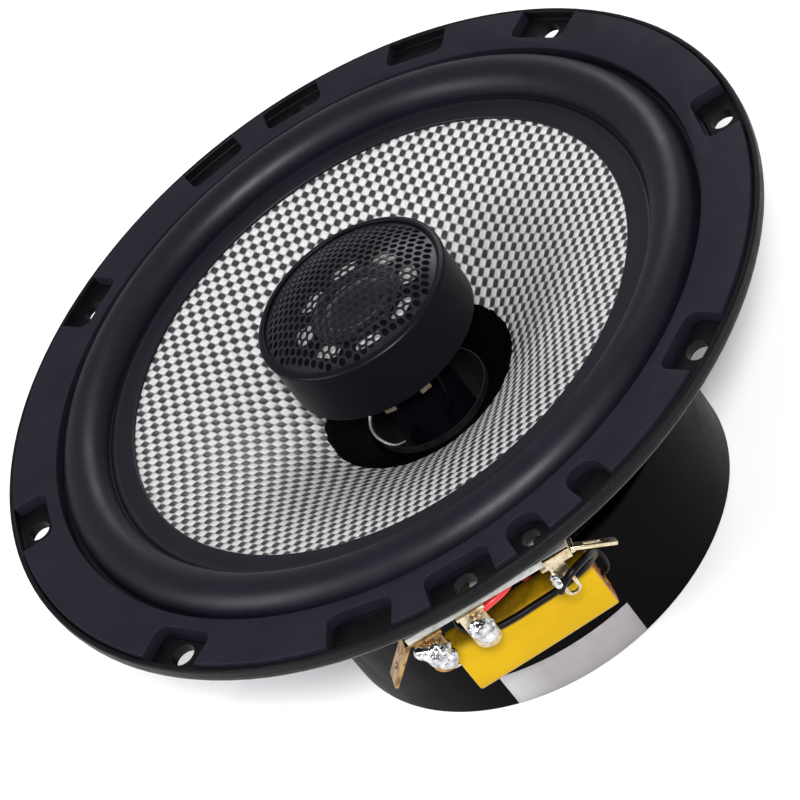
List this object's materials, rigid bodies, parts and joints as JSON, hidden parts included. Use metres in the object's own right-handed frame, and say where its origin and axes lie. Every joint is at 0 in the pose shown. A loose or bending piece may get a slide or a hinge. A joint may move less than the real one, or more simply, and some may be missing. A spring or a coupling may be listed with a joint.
{
  "type": "coaxial car speaker",
  "caption": "Round two-way coaxial loudspeaker: woven cone, half-roll surround, post-mounted dome tweeter, drilled flange and side terminals.",
  "frame": {"origin": "centre of the flange's rear (mounting) face, on the speaker's axis", "axes": "+Z along the speaker's axis, out of the cone towards the listener; the terminal board is on the -Y side"},
  "size_m": [0.1668, 0.1668, 0.0811],
  "materials": {
    "powder_coat": "textured black powder coat",
    "gasket_foam": "matte dark blue-grey moulded gasket",
    "surround_rubber": "satin butyl rubber",
    "glass_weave": "white glass-fibre weave with dark yarns, lacquered",
    "black_plastic": "satin moulded plastic",
    "neck_paint": "matte black paint",
    "former_film": "amber film former",
    "copper_winding": "enamelled copper wire",
    "spider_cloth": "resin-treated cotton, corrugated",
    "zinc_plate": "zinc-plated steel",
    "ferrite": "ground ferrite",
    "cover_rubber": "smooth satin rubber boot",
    "label_foil": "blank satin silver label",
    "grille_steel": "satin black perforated steel",
    "bright_plate": "bright nickel plate",
    "neodymium": "nickel-plated neodymium",
    "dome_silk": "coated silk",
    "board_fibre": "pale grey fibre board",
    "brass_tab": "tarnished brass",
    "tinned_brass": "pale tinned brass",
    "solder": "bright tin solder",
    "capacitor_wrap": "yellow polyester tape wrap",
    "epoxy": "brown epoxy end seal",
    "tinned_wire": "tinned copper wire",
    "glue": "dark hot-melt glue",
    "red_sleeve": "red PVC sleeve",
    "black_sleeve": "black PVC sleeve",
    "tinsel": "braided copper tinsel"
  },
  "bodies": {
    "chassis": {"mounting_flange": "powder_coat", "basket": "powder_coat", "gasket": "gasket_foam", "surround": "surround_rubber", "spider": "spider_cloth", "top_plate": "zinc_plate", "ferrite_magnet": "ferrite", "yoke": "zinc_plate", "magnet_cover": "cover_rubber", "rating_label": "label_foil", "basket_rivets": "zinc_plate", "tweeter_post": "black_plastic", "post_bolt": "zinc_plate", "post_nut": "zinc_plate", "tweeter_cup": "black_plastic", "tweeter_bezel": "black_plastic", "tweeter_grille": "grille_steel", "tweeter_yoke": "bright_plate", "tweeter_magnet": "neodymium", "tweeter_top_plate": "bright_plate", "tweeter_faceplate": "black_plastic", "tweeter_surround": "dome_silk", "tweeter_tabs": "tinned_brass", "tweeter_lead_positive": "black_sleeve", "tweeter_lead_negative": "tinned_wire", "terminal_board": "board_fibre", "board_rivets": "zinc_plate", "positive_terminal": "brass_tab", "tie_terminal": "tinned_brass", "negative_terminal": "tinned_brass", "terminal_rivets": "tinned_brass", "solder_joints": "solder", "capacitor": "capacitor_wrap", "capacitor_end_seals": "epoxy", "capacitor_lead_left": "tinned_wire", "capacitor_lead_right": "black_sleeve", "capacitor_glue": "glue", "red_wire": "red_sleeve", "black_wire": "black_sleeve", "tinsel_lead_positive": "tinsel", "tinsel_lead_negative": "tinsel"},
    "cone_assembly": {"cone": "glass_weave", "neck_collar": "neck_paint", "coil_former": "former_film", "voice_coil": "copper_winding", "cone_solder_eyelets": "solder"},
    "tweeter_diaphragm": {"tweeter_dome": "dome_silk", "tweeter_coil_former": "label_foil", "tweeter_coil": "copper_winding"}
  },
  "joints": [
    {"name": "cone_excursion", "type": "slide", "parent": "chassis", "child": "cone_assembly", "axis": [0, 0, 1], "range_m": [-0.003, 0.003], "stiffness_N_per_m": 1600, "deforming": ["surround", "spider", "tinsel_lead_positive", "tinsel_lead_negative"]},
    {"name": "tweeter_excursion", "type": "slide", "parent": "chassis", "child": "tweeter_diaphragm", "axis": [0, 0, 1], "range_m": [-0.0003, 0.0003], "stiffness_N_per_m": 1500, "deforming": ["tweeter_surround"]}
  ]
}
